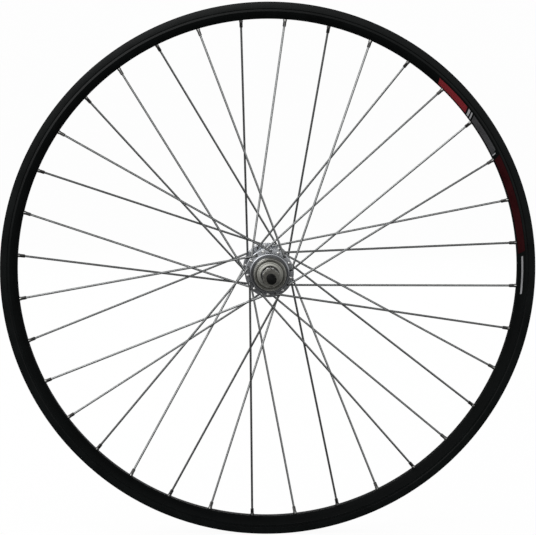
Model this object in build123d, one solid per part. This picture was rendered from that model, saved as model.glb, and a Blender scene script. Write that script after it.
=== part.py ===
from build123d import *

import os
from dataclasses import dataclass
from math import cos, radians, sin, sqrt

# A rear bicycle wheel for rim brakes, with a hub that takes a screw-on freewheel.
# The axle lies along Y with the drive side at -Y, and Z is up. The origin is the wheel's
# centre, on the axle's axis and in the middle plane of the rim.
# Lengths are in millimetres and angles in degrees. Angles round the wheel start at +X and
# turn towards +Z.

# Rim: a double-wall extrusion, rolled into a hoop
BEAD_SEAT_DIAMETER = 559.0
LIP_HEIGHT = 6.0
RIM_WIDTH = 24.0
RIM_DEPTH = 17.9
LIP_GAP = 19.0
LIP_UNDERCUT = 1.0
SEAT_WIDTH = 3.0
WELL_DEPTH = 2.3
WELL_RUNOUT = 1.2
TRACK_HEIGHT = 7.6
TRACK_STEP = 0.6
KNUCKLE_DEPTH = 14.0
KNUCKLE_WIDTH = 19.2
CREST_WIDTH = 8.8
BRIDGE_WALL = 1.3
SIDE_WALL = 1.5
BED_WALL = 1.9
ACCESS_HOLE_DIAMETER = 9.0
VALVE_HOLE_DIAMETER = 8.5
DRILLED_HOLE_SIDES = 6

# Lacing: three cross, with every second rim hole drawn to the drive flange
SPOKE_COUNT = 36
FIRST_HOLE_ANGLE = 6.5
HOLE_STAGGER = 1.5
LACING_ANGLE = 60.0
VALVE_GAP = 7

# Spokes and nipples
WIRE_DIAMETER = 2.3
WIRE_SIDES = 6
HEAD_DIAMETER = 3.8
HEAD_THICKNESS = 1.0
NIPPLE_BODY_DIAMETER = 4.1
NIPPLE_BODY_LENGTH = 10.0
NIPPLE_HEAD_DIAMETER = 5.8
NIPPLE_HEAD_HEIGHT = 2.0
NIPPLE_SIDES = 4
NIPPLE_HEAD_SIDES = 8
THREAD_SETBACK = 0.5

# Hub shell
FLANGE_DIAMETER = 52.0
FLANGE_THICKNESS = 3.0
FLANGE_HOLE_CIRCLE = 46.4
DRIVE_FLANGE_OFFSET = 20.65
LEFT_FLANGE_OFFSET = 37.4
FLANGE_ROOT_DIAMETER = 38.0
FLANGE_ROOT_LENGTH = 7.0
BARREL_DIAMETER = 30.0
TUNNEL_DIAMETER = 22.0
SHOULDER_DIAMETER = 42.4
SHOULDER_LENGTH = 3.2
FREEWHEEL_THREAD_DIAMETER = 34.8
FREEWHEEL_THREAD_LENGTH = 11.7
FREEWHEEL_RELIEF_LENGTH = 4.4
FREEWHEEL_RELIEF = 0.6
FREEWHEEL_LEAD_IN = 0.7
LEFT_BOSS_LENGTH = 7.1
LEFT_BOSS_ROOT_DIAMETER = 37.0
LEFT_BOSS_END_DIAMETER = 34.0

# Bearings: a pressed cup, loose balls and a screwed cone at each end
BALL_DIAMETER = 6.35
BALL_COUNT = 9
BALL_SIDES = 8
CUP_DIAMETER = 28.4
CUP_LENGTH = 8.0
CUP_WALL = 1.3
CUP_RECESS = 3.5
BALL_RECESS = 7.1
CONE_DIAMETER = 17.4
CONE_NOSE_DIAMETER = 12.0
CONE_STAND_OUT = 6.0
CONE_FLATS = 15.0
CONE_FLAT_LENGTH = 3.5
DUST_CAP_RECESS = 0.8
DUST_CAP_THICKNESS = 1.2
DUST_CAP_GAP = 0.45

# Axle and what is screwed up on it
AXLE_DIAMETER = 10.0
AXLE_PITCH_DIAMETER = 9.35
AXLE_THREAD_RUNOUT = 0.5
AXLE_LENGTH = 166.0
AXLE_CHAMFER = 1.0
OVER_LOCKNUTS = 135.0
LOCKNUT_FLATS = 17.0
LOCKNUT_THICKNESS = 5.0
LOCK_WASHER_DIAMETER = 17.0
LOCK_WASHER_THICKNESS = 1.5
SPACER_DIAMETER = 16.0

# Clearances
THREAD_CLEARANCE = 0.05
WIRE_CLEARANCE = 0.15
SEAT_CLEARANCE = 0.05
RACE_CLEARANCE = 0.02
BALL_SIDE_CLEARANCE = 0.025

# Rim radii, from the lip inwards
SEAT_RADIUS = BEAD_SEAT_DIAMETER / 2
LIP_RADIUS = SEAT_RADIUS + LIP_HEIGHT
WELL_RADIUS = SEAT_RADIUS - WELL_DEPTH
TRACK_RADIUS = LIP_RADIUS - TRACK_HEIGHT
KNUCKLE_RADIUS = LIP_RADIUS - KNUCKLE_DEPTH
CREST_RADIUS = LIP_RADIUS - RIM_DEPTH
BRIDGE_RADIUS = WELL_RADIUS - BRIDGE_WALL
BED_RADIUS = CREST_RADIUS + BED_WALL

# Places along the axle
DRIVE_SIDE = -1
LEFT_SIDE = 1
DRIVE_FACE = DRIVE_FLANGE_OFFSET + FLANGE_THICKNESS / 2
LEFT_FACE = LEFT_FLANGE_OFFSET + FLANGE_THICKNESS / 2
SHOULDER_END = DRIVE_FACE + SHOULDER_LENGTH
THREAD_START = SHOULDER_END + FREEWHEEL_RELIEF_LENGTH
DRIVE_END = THREAD_START + FREEWHEEL_THREAD_LENGTH
LEFT_END = LEFT_FACE + LEFT_BOSS_LENGTH
CUP_DEPTH = CUP_RECESS + CUP_LENGTH
LOCKNUT_INNER_FACE = OVER_LOCKNUTS / 2 - LOCKNUT_THICKNESS
WASHER_INNER_FACE = LOCKNUT_INNER_FACE - LOCK_WASHER_THICKNESS
AXLE_STEP = OVER_LOCKNUTS / 2 + AXLE_THREAD_RUNOUT

WIRE_RADIUS = WIRE_DIAMETER / 2
FLANGE_HOLE_RADIUS = WIRE_RADIUS + WIRE_CLEARANCE
NIPPLE_BORE_RADIUS = WIRE_RADIUS + THREAD_CLEARANCE
RIM_HOLE_RADIUS = (NIPPLE_BODY_DIAMETER / 2 + WIRE_CLEARANCE) / cos(radians(180 / DRILLED_HOLE_SIDES))
SCREWED_BORE_RADIUS = AXLE_PITCH_DIAMETER / 2 + THREAD_CLEARANCE
SLIDING_BORE_RADIUS = AXLE_DIAMETER / 2 + THREAD_CLEARANCE
BALL_CIRCLE = CUP_DIAMETER - 2 * (CUP_WALL + BALL_SIDE_CLEARANCE) - BALL_DIAMETER
HUB_ENDS = ((DRIVE_SIDE, DRIVE_END), (LEFT_SIDE, LEFT_END))


def around(angle, radius, y=0.0):
    """Point at an angle and radius round the axle."""
    return Vector(radius * cos(radians(angle)), y, radius * sin(radians(angle)))


def turned(points):
    """Solid of revolution about the axle from points of (radius, place along the axle)."""
    return revolve(make_face(Polyline(*points, close=True)), axis=Axis.Y)


def ring(outer_radius, inner_radius, start, end):
    """Plain ring about the axle."""
    corners = [(inner_radius, start), (outer_radius, start), (outer_radius, end), (inner_radius, end)]
    return turned(corners)


def prism(base, direction, x_dir, radius, sides, length):
    """Regular prism from a base point along a direction, with a corner towards x_dir."""
    plane = Plane(origin=base, x_dir=x_dir, z_dir=direction)
    return extrude(plane * RegularPolygon(radius, sides), amount=length)


def group(solids):
    """Several separate solids that share one node."""
    return Compound(children=list(solids))


@dataclass
class Strand:
    """Route of one spoke from its head in the hub flange to its nipple seat in the rim."""

    rim_angle: float
    head: Vector
    elbow: Vector
    seat: Vector
    outward: Vector
    across: Vector

    @property
    def along(self):
        """Direction of the straight wire, from the hub to the rim."""
        return (self.seat - self.elbow).normalized()

    @property
    def seat_lift(self):
        """Height of the nipple head over its seat, so that its tilted edge just clears the bed."""
        radial = around(self.rim_angle, 1.0)
        slope = self.along.cross(radial).length / self.along.dot(radial)
        return NIPPLE_HEAD_DIAMETER / 2 * slope + SEAT_CLEARANCE


def edge_run(hole, seat):
    """Length of the wire from its flange hole to where it passes the flange's edge."""
    run = Vector(seat.X - hole.X, 0, seat.Z - hole.Z).normalized()
    inward = hole.X * run.X + hole.Z * run.Z
    reach = (FLANGE_DIAMETER / 2) ** 2 - (FLANGE_HOLE_CIRCLE / 2) ** 2
    return sqrt(inward**2 + reach) - inward


def strand(index):
    """Route of spoke number index, counted round the rim from the first hole."""
    side = DRIVE_SIDE if index % 2 == 0 else LEFT_SIDE
    leaves_outside = index % 4 in (2, 3)
    rim_angle = FIRST_HOLE_ANGLE + index * 360 / SPOKE_COUNT
    hub_angle = rim_angle - LACING_ANGLE if leaves_outside else rim_angle + LACING_ANGLE
    offset = DRIVE_FLANGE_OFFSET if side == DRIVE_SIDE else LEFT_FLANGE_OFFSET
    hole = around(hub_angle, FLANGE_HOLE_CIRCLE / 2, side * offset)
    seat = around(rim_angle, BED_RADIUS, side * HOLE_STAGGER)
    face = FLANGE_THICKNESS / 2
    stand_off = face + WIRE_RADIUS + WIRE_CLEARANCE
    if leaves_outside:
        run = Vector(seat.X - hole.X, 0, seat.Z - hole.Z).length
        lean = (offset + stand_off - HOLE_STAGGER) / run
        stand_off += lean * edge_run(hole, seat)
    outward = Vector(0, side if leaves_outside else -side, 0)
    elbow = hole + outward * stand_off
    head = hole - outward * (face + SEAT_CLEARANCE)
    across = outward.cross(seat - elbow).normalized()
    return Strand(rim_angle, head, elbow, seat, outward, across)


def spoke(route):
    """Wire with an elbow through the flange, a flat head and a straight run into its nipple."""
    tip = route.seat + route.along * (route.seat_lift + NIPPLE_HEAD_HEIGHT - THREAD_SETBACK)
    start = Plane(origin=route.head, x_dir=route.across, z_dir=route.outward)
    wire = sweep(
        start * RegularPolygon(WIRE_RADIUS, WIRE_SIDES),
        path=Polyline(route.head, route.elbow, tip),
        transition=Transition.RIGHT,
    )
    head = prism(
        route.head, -route.outward, route.across, HEAD_DIAMETER / 2, WIRE_SIDES, HEAD_THICKNESS
    )
    return wire + head


def nipple(route):
    """Square nipple body with a wider head, bored through for the wire."""
    top = route.seat + route.along * route.seat_lift
    bottom = top - route.along * NIPPLE_BODY_LENGTH
    body = prism(
        bottom, route.along, route.across, NIPPLE_BODY_DIAMETER / 2, NIPPLE_SIDES, NIPPLE_BODY_LENGTH
    )
    head = prism(
        top, route.along, route.across, NIPPLE_HEAD_DIAMETER / 2, NIPPLE_HEAD_SIDES, NIPPLE_HEAD_HEIGHT
    )
    full_length = NIPPLE_BODY_LENGTH + NIPPLE_HEAD_HEIGHT
    bore = prism(bottom, route.along, route.across, NIPPLE_BORE_RADIUS, WIRE_SIDES, full_length)
    return body + head - bore


def rim_section():
    """Section of the rim: tyre well, lips, brake tracks and a hollow box over the spoke bed."""
    half_width = RIM_WIDTH / 2
    wall_foot = LIP_GAP / 2 + LIP_UNDERCUT
    seat_inner = wall_foot - SEAT_WIDTH
    box_half = half_width - TRACK_STEP
    outline = [
        (WELL_RADIUS, seat_inner - WELL_RUNOUT),
        (SEAT_RADIUS, seat_inner),
        (SEAT_RADIUS, wall_foot),
        (LIP_RADIUS, LIP_GAP / 2),
        (LIP_RADIUS, half_width),
        (TRACK_RADIUS, half_width),
        (TRACK_RADIUS - TRACK_STEP, box_half),
        (KNUCKLE_RADIUS, KNUCKLE_WIDTH / 2),
        (CREST_RADIUS, CREST_WIDTH / 2),
    ]
    cavity = [
        (BRIDGE_RADIUS, box_half - SIDE_WALL),
        (KNUCKLE_RADIUS + SIDE_WALL / 2, KNUCKLE_WIDTH / 2 - SIDE_WALL),
        (BED_RADIUS, CREST_WIDTH / 2),
    ]
    walls = make_face(Polyline(*both_halves(outline), close=True))
    return walls - make_face(Polyline(*both_halves(cavity), close=True))


def both_halves(points):
    """Closed outline from the points on one side of the rim's middle plane."""
    return points + [(radius, -y) for radius, y in reversed(points)]


def radial_hole(angle, y, radius, start, end, sides):
    """Prism that cuts a hole along a radius of the wheel."""
    return prism(around(angle, start, y), around(angle, 1.0), Vector(0, 1, 0), radius, sides, end - start)


def rim(routes):
    """Rim with its spoke holes, the access holes over them and the valve hole."""
    hoop = revolve(rim_section(), axis=Axis.Y)
    bed_middle = (CREST_RADIUS + BED_RADIUS) / 2
    bridge_middle = (BRIDGE_RADIUS + WELL_RADIUS) / 2
    reach = (bridge_middle - bed_middle) / 2
    cutters = []
    for route in routes:
        start = route.seat - route.along * (BED_WALL + reach)
        cutters.append(
            prism(
                start,
                route.along,
                route.across,
                RIM_HOLE_RADIUS,
                DRILLED_HOLE_SIDES,
                BED_WALL + 2 * reach,
            )
        )
        cutters.append(
            radial_hole(
                route.rim_angle,
                route.seat.Y,
                ACCESS_HOLE_DIAMETER / 2,
                bridge_middle - reach,
                LIP_RADIUS,
                DRILLED_HOLE_SIDES,
            )
        )
    valve_angle = FIRST_HOLE_ANGLE + (VALVE_GAP + 0.5) * 360 / SPOKE_COUNT
    valve_plane = Plane(origin=(0, 0, 0), x_dir=(0, 1, 0), z_dir=around(valve_angle, 1.0))
    valve_drill = extrude(valve_plane * Circle(VALVE_HOLE_DIAMETER / 2), amount=LIP_RADIUS)
    return hoop - cutters - valve_drill


def hub_shell(routes):
    """Turned shell with two drilled flanges, the freewheel thread and seats for the cups."""
    half_flange = FLANGE_THICKNESS / 2
    thread_radius = FREEWHEEL_THREAD_DIAMETER / 2
    flange_radius = FLANGE_DIAMETER / 2
    root_radius = FLANGE_ROOT_DIAMETER / 2
    cup_radius = CUP_DIAMETER / 2
    tunnel_radius = TUNNEL_DIAMETER / 2
    drive_inner = DRIVE_FLANGE_OFFSET - half_flange
    left_inner = LEFT_FLANGE_OFFSET - half_flange
    shell = turned(
        [
            (cup_radius, -DRIVE_END),
            (thread_radius - FREEWHEEL_LEAD_IN, -DRIVE_END),
            (thread_radius, -DRIVE_END + FREEWHEEL_LEAD_IN),
            (thread_radius, -THREAD_START),
            (thread_radius - FREEWHEEL_RELIEF, -THREAD_START),
            (thread_radius - FREEWHEEL_RELIEF, -SHOULDER_END),
            (SHOULDER_DIAMETER / 2, -SHOULDER_END),
            (SHOULDER_DIAMETER / 2, -DRIVE_FACE),
            (flange_radius, -DRIVE_FACE),
            (flange_radius, -drive_inner),
            (root_radius, -drive_inner),
            (BARREL_DIAMETER / 2, -drive_inner + FLANGE_ROOT_LENGTH),
            (BARREL_DIAMETER / 2, left_inner - FLANGE_ROOT_LENGTH),
            (root_radius, left_inner),
            (flange_radius, left_inner),
            (flange_radius, LEFT_FACE),
            (LEFT_BOSS_ROOT_DIAMETER / 2, LEFT_FACE),
            (LEFT_BOSS_END_DIAMETER / 2, LEFT_END),
            (cup_radius, LEFT_END),
            (cup_radius, LEFT_END - CUP_DEPTH),
            (tunnel_radius, LEFT_END - CUP_DEPTH),
            (tunnel_radius, CUP_DEPTH - DRIVE_END),
            (cup_radius, CUP_DEPTH - DRIVE_END),
        ]
    )
    drill_length = 3 * FLANGE_THICKNESS
    drills = [
        prism(
            route.head - route.outward * FLANGE_THICKNESS,
            route.outward,
            route.across,
            FLANGE_HOLE_RADIUS,
            WIRE_SIDES,
            drill_length,
        )
        for route in routes
    ]
    return shell - drills


def at_hub_end(points, side, end):
    """Points of (radius, depth below a hub end) as (radius, place along the axle)."""
    return [(radius, side * (end - depth)) for radius, depth in points]


# A race is a 45 degree cone: radius and depth below the hub end add up to the same sum along it.
RACE_REACH = (BALL_DIAMETER / 2 + RACE_CLEARANCE) * sqrt(2)
CUP_RACE_SUM = BALL_CIRCLE / 2 + BALL_RECESS + RACE_REACH
CONE_RACE_SUM = BALL_CIRCLE / 2 + BALL_RECESS - RACE_REACH


def bearing_cup(side, end):
    """Cup pressed into the hub shell, with a race that opens outwards."""
    outer = CUP_DIAMETER / 2
    inner = outer - CUP_WALL
    outline = [
        (outer, CUP_RECESS),
        (outer, CUP_DEPTH),
        (CUP_RACE_SUM - CUP_DEPTH, CUP_DEPTH),
        (inner, CUP_RACE_SUM - inner),
        (inner, CUP_RECESS),
    ]
    return turned(at_hub_end(outline, side, end))


def bearing_cone(side, end):
    """Cone screwed on the axle, with two spanner flats outside the hub."""
    outer = CONE_DIAMETER / 2
    nose = CONE_NOSE_DIAMETER / 2
    outline = [
        (SCREWED_BORE_RADIUS, -CONE_STAND_OUT),
        (outer, -CONE_STAND_OUT),
        (outer, CONE_RACE_SUM - outer),
        (nose, CONE_RACE_SUM - nose),
        (SCREWED_BORE_RADIUS, CONE_RACE_SUM - nose),
    ]
    cone = turned(at_hub_end(outline, side, end))
    flat_middle = side * (end + CONE_STAND_OUT - CONE_FLAT_LENGTH / 2)
    for turn in (DRIVE_SIDE, LEFT_SIDE):
        block = Box(CONE_DIAMETER, CONE_FLAT_LENGTH, CONE_DIAMETER)
        cone -= Pos(0, flat_middle, turn * (CONE_FLATS + CONE_DIAMETER) / 2) * block
    return cone


def ball_set(side, end):
    """Loose balls of one bearing, each with flat faces inside its true sphere."""
    corner_reach = sqrt(1 + sin(radians(180 / BALL_SIDES)) ** 2)
    radius = BALL_DIAMETER / 2 / corner_reach
    centre = side * (end - BALL_RECESS)
    bars = [
        Rot(*turn) * extrude(RegularPolygon(radius, BALL_SIDES, rotation=180 / BALL_SIDES), radius, both=True)
        for turn in ((0, 0, 0), (90, 0, 0), (0, 90, 0))
    ]
    ball = bars[0] & bars[1] & bars[2]
    step = 360 / BALL_COUNT
    return group(
        Pos(around(place * step, BALL_CIRCLE / 2, centre)) * Rot(0, -place * step, 0) * ball
        for place in range(BALL_COUNT)
    )


def dust_cap(side, end):
    """Pressed cap that closes the hub end round the cone."""
    hole = CONE_DIAMETER / 2 + DUST_CAP_GAP
    outer_face = end - DUST_CAP_RECESS
    inner_face = outer_face - DUST_CAP_THICKNESS
    return ring(CUP_DIAMETER / 2, hole, side * outer_face, side * inner_face)


def axle():
    """Solid axle. Its free ends have the thread's full diameter, and between the locknuts it has
    the pitch diameter, where the screwed pieces bear on it."""
    radius = AXLE_DIAMETER / 2
    waist = AXLE_PITCH_DIAMETER / 2
    half = AXLE_LENGTH / 2
    return turned(
        [
            (0, -half),
            (radius - AXLE_CHAMFER, -half),
            (radius, AXLE_CHAMFER - half),
            (radius, -AXLE_STEP),
            (waist, -AXLE_STEP),
            (waist, AXLE_STEP),
            (radius, AXLE_STEP),
            (radius, half - AXLE_CHAMFER),
            (radius - AXLE_CHAMFER, half),
            (0, half),
        ]
    )


def spacer(side, end):
    """Tube between a cone and its lock washer."""
    start = side * (end + CONE_STAND_OUT)
    return ring(SPACER_DIAMETER / 2, SLIDING_BORE_RADIUS, start, side * WASHER_INNER_FACE)


def lock_washer(side):
    """Washer under a locknut."""
    inner_face = side * WASHER_INNER_FACE
    return ring(LOCK_WASHER_DIAMETER / 2, SLIDING_BORE_RADIUS, inner_face, side * LOCKNUT_INNER_FACE)


def locknut(side):
    """Hexagon locknut, whose outer face meets the frame."""
    plane = Plane(origin=(0, side * LOCKNUT_INNER_FACE, 0), x_dir=(1, 0, 0), z_dir=(0, side, 0))
    hexagon = RegularPolygon(LOCKNUT_FLATS / 2, 6, major_radius=False)
    return extrude(plane * (hexagon - Circle(SCREWED_BORE_RADIUS)), amount=LOCKNUT_THICKNESS)


def build_nodes():
    """Every node of the wheel by its name."""
    routes = [strand(index) for index in range(SPOKE_COUNT)]
    nodes = {
        "rim": rim(routes),
        "hub_shell": hub_shell(routes),
        "nipples": group(nipple(route) for route in routes),
        "axle": axle(),
        "bearing_cups": group(bearing_cup(side, end) for side, end in HUB_ENDS),
        "bearing_cones": group(bearing_cone(side, end) for side, end in HUB_ENDS),
        "drive_balls": ball_set(DRIVE_SIDE, DRIVE_END),
        "left_balls": ball_set(LEFT_SIDE, LEFT_END),
        "dust_caps": group(dust_cap(side, end) for side, end in HUB_ENDS),
        "axle_spacers": group(spacer(side, end) for side, end in HUB_ENDS),
        "lock_washers": group(lock_washer(side) for side, _ in HUB_ENDS),
        "locknuts": group(locknut(side) for side, _ in HUB_ENDS),
    }
    for index, route in enumerate(routes):
        nodes[f"spoke_{index + 1:02d}"] = spoke(route)
    return nodes


os.makedirs("parts", exist_ok=True)
for name, shape in build_nodes().items():
    export_step(shape, f"parts/{name}.step")
    print(name, len(shape.solids()), round(shape.volume, 1))
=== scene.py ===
"""Dresses a rear bicycle wheel for its studio picture.

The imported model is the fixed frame. The pieces made here are finer forms of its nodes: a rolled rim with a
printed label, round spokes with bent elbows, nipples, a turned hub with a cut thread, and the axle set.

Sizes are in millimetres until a mesh is made, and then in metres. The axle lies along Y with the drive side
at -Y, and Z is up. Angles round the axle are in degrees, start at +X and turn towards +Z.
"""

import logging
import math
from dataclasses import dataclass, field, replace
from enum import Enum
from functools import cache, cached_property
from typing import Callable, Sequence

import bmesh
import bpy
from mathutils import Matrix, Vector

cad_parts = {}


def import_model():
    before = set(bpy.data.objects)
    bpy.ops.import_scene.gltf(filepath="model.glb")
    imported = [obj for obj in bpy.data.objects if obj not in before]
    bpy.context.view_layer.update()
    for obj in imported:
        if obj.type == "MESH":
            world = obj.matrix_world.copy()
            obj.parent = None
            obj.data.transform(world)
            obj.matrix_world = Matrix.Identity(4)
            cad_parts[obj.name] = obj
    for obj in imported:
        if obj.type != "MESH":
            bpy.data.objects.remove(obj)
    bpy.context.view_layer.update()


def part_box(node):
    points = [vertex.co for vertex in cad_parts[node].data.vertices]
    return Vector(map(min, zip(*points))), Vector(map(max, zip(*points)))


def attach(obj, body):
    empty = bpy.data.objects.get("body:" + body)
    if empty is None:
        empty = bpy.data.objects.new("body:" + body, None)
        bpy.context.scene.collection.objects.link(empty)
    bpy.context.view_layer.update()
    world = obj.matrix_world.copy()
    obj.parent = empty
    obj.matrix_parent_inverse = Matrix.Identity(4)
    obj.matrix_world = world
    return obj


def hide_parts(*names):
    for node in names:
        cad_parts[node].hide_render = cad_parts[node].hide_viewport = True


LOG = logging.getLogger("bicycle_wheel")
MM = 0.001
MERGE_GAP = 0.001 * MM
AXLE = Vector((0, 1, 0))
WHITE = (1.0, 1.0, 1.0, 1.0)

Colour = tuple[float, float, float]
Section = list[tuple[float, float]]
Node = bpy.types.Node
Object = bpy.types.Object
Socket = bpy.types.NodeSocket


class Side(Enum):
    """Side of the wheel, as a sign along the axle."""

    DRIVE = -1
    LEFT = 1


class Body(Enum):
    """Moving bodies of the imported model."""

    AXLE_SET = "axle_set"
    WHEEL = "wheel"
    DRIVE_BALLS = "drive_ball_ring"
    LEFT_BALLS = "left_ball_ring"


class Slot(Enum):
    """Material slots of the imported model."""

    RIM = "rim_black"
    HUB = "hub_alloy"
    SPOKE = "spoke_steel"
    NIPPLE = "nipple_plate"
    AXLE = "axle_black"
    BEARING = "bearing_steel"
    CAP = "cap_steel"
    ZINC = "zinc_steel"


class Grain(Enum):
    """How the fine marks of a surface run."""

    EVEN = "even"
    TURNED = "turned"


class Edge(Enum):
    """Angle in degrees from which an edge of a piece stays sharp."""

    HEXAGON = 25.0
    MACHINED = 32.0
    WIRE = 50.0
    THREAD = 60.0


class Ink(Enum):
    """Inks of the printed label, by material slot."""

    RED = 0
    GREY = 1
    WINE = 2
    PALE = 3


@dataclass(frozen=True)
class Role:
    """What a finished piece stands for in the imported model."""

    body: Body
    slot: Slot
    replaces: tuple[str, ...] = ()


@dataclass(frozen=True)
class Corner:
    """Corner of a section: distance from the axle, place along it, and rounding."""

    radius: float
    along: float
    rounding: float = 0.0


@dataclass(frozen=True)
class Sizes:
    """Sizes that sub-assemblies share, in millimetres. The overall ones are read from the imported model."""

    lip_radius: float
    rim_half_width: float
    flange_radius: float
    drive_end: float
    left_end: float
    axle_radius: float
    axle_half: float
    locknut_face: float
    rim_depth: float = 17.9
    bed_wall: float = 1.9
    flange_thickness: float = 3.0
    drive_flange: float = 20.65
    left_flange: float = 37.4
    cup_radius: float = 14.2
    cup_depth: float = 11.5
    cone_radius: float = 8.7
    cone_stand_out: float = 6.0
    wire_radius: float = 1.15

    @classmethod
    def read(cls) -> "Sizes":
        """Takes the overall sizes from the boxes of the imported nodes.

        Returns:
            The sizes of the wheel.
        """
        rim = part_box("rim")[1] / MM
        hub_low, hub_high = (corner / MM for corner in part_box("hub_shell"))
        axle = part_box("axle")[1] / MM
        return cls(
            lip_radius=rim.x,
            rim_half_width=rim.y,
            flange_radius=hub_high.x,
            drive_end=-hub_low.y,
            left_end=hub_high.y,
            axle_radius=axle.x,
            axle_half=axle.y,
            locknut_face=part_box("locknuts")[1].y / MM,
        )

    @property
    def bed_radius(self) -> float:
        """Radius of the face inside the rim that the nipples sit on."""
        return self.lip_radius - self.rim_depth + self.bed_wall

    def hub_end(self, side: Side) -> float:
        """Distance of a hub end from the middle plane of the rim."""
        return self.drive_end if side is Side.DRIVE else self.left_end

    def flange(self, side: Side) -> float:
        """Distance of a flange from the middle plane of the rim."""
        return self.drive_flange if side is Side.DRIVE else self.left_flange

    def at_end(self, side: Side, shape: Sequence[Corner]) -> Section:
        """Section of a turned piece whose corners are given by their depth below a hub end."""
        end = self.hub_end(side)
        return rounded([replace(corner, along=side.value * (end - corner.along)) for corner in shape])


def even_angles(count: int) -> list[float]:
    """Angles of even steps round the axle."""
    return [index * 360 / count for index in range(count)]


def around(angle: float, radius: float, along: float = 0.0) -> Vector:
    """Point at an angle and radius round the axle, and at a place along it."""
    turn = math.radians(angle)
    return Vector((radius * math.cos(turn), along, radius * math.sin(turn)))


def hoop(radius: float, along: float, count: int) -> list[Vector]:
    """Ring of even points round the axle."""
    return [around(angle, radius, along) for angle in even_angles(count)]


def rounded(corners: Sequence[Corner], steps: int = 5, most: float = 0.48) -> Section:
    """Closed section with its corners rounded off.

    Args:
        corners: Corners in order.
        steps: Number of faces along each rounding.
        most: Share of an edge that one rounding may take up.

    Returns:
        Points of (radius, along).
    """
    section: Section = []
    for index, corner in enumerate(corners):
        here = Vector((corner.radius, corner.along))
        if corner.rounding == 0.0:
            section.append((here.x, here.y))
            continue
        before = corners[index - 1]
        after = corners[(index + 1) % len(corners)]
        back = Vector((before.radius, before.along)) - here
        ahead = Vector((after.radius, after.along)) - here
        half_angle = back.angle(ahead) / 2
        reach = min(corner.rounding / math.tan(half_angle), back.length * most, ahead.length * most)
        start = here + back.normalized() * reach
        end = here + ahead.normalized() * reach
        for step in range(steps + 1):
            share = step / steps
            point = start * (1 - share) ** 2 + here * (2 * share * (1 - share)) + end * share**2
            section.append((point.x, point.y))
    return section


def mirrored(corners: Sequence[Corner]) -> list[Corner]:
    """Closed outline of corners on one side of the middle plane and their mirror images."""
    return [*corners, *(replace(corner, along=-corner.along) for corner in reversed(corners))]


class Tree:
    """Node tree under construction."""

    def __init__(self, tree: bpy.types.NodeTree) -> None:
        """Takes the tree to build."""
        self.tree = tree

    def feed(self, socket: Socket, value: object) -> None:
        """Gives an input its value, or the link to its source.

        Args:
            socket: Input of a node.
            value: Plain value or source socket.
        """
        if isinstance(value, Socket):
            self.tree.links.new(value, socket)
        else:
            socket.default_value = value

    def add(self, kind: str, inputs: dict[object, object] | None = None, **settings: object) -> Node:
        """Adds a node.

        Args:
            kind: Blender's name of the node type.
            inputs: Values or source sockets by the name or number of the input.
            **settings: Properties of the node.

        Returns:
            The new node.
        """
        node = self.tree.nodes.new(kind)
        for key, value in settings.items():
            setattr(node, key, value)
        for key, value in (inputs or {}).items():
            self.feed(node.inputs[key], value)
        return node

    def math(self, operation: str, *values: object) -> Socket:
        """Result of a Math node on values or sockets."""
        return self.add("ShaderNodeMath", dict(enumerate(values)), operation=operation).outputs[0]

    def seen(self) -> Socket:
        """Share that is 1 for rays from the camera and for rays by way of metal or glass.

        Returns:
            The share.
        """
        path = self.add("ShaderNodeLightPath").outputs
        direct = self.math("MAXIMUM", path["Is Camera Ray"], path["Is Glossy Ray"])
        return self.math("MAXIMUM", direct, path["Is Transmission Ray"])


class Shader(Tree):
    """Procedural material under construction."""

    def __init__(self, name: str) -> None:
        """Starts a material with a plain surface.

        Args:
            name: Name of the material.
        """
        self.material = bpy.data.materials.new(name)
        self.material.use_nodes = True
        super().__init__(self.material.node_tree)
        self.surface = self.tree.nodes["Principled BSDF"]

    def dress(self, values: dict[str, object]) -> None:
        """Gives inputs of the plain surface their values or sources."""
        for label, value in values.items():
            self.feed(self.surface.inputs[label], value)

    def show(self, look: Socket) -> None:
        """Makes a shader the look of the material."""
        self.feed(self.tree.nodes["Material Output"].inputs["Surface"], look)

    def ramp(self, share: Socket, stops: Sequence[tuple[float, Colour]]) -> Socket:
        """Adds a colour ramp.

        Args:
            share: Value from 0 to 1.
            stops: Places and colours in order.

        Returns:
            The colour.
        """
        node = self.add("ShaderNodeValToRGB", {"Fac": share})
        elements = node.color_ramp.elements
        while len(elements) < len(stops):
            elements.new(1.0)
        for element, (place, colour) in zip(elements, stops):
            element.position = place
            element.color = (*colour, 1.0)
        return node.outputs["Color"]

    def noise(self, place: Socket, size: float, detail: float = 3.0) -> Socket:
        """Noise from 0 to 1 whose features have a size in millimetres."""
        inputs = {"Vector": place, "Scale": 1 / (size * MM), "Detail": detail}
        return self.add("ShaderNodeTexNoise", inputs).outputs["Fac"]


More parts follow.
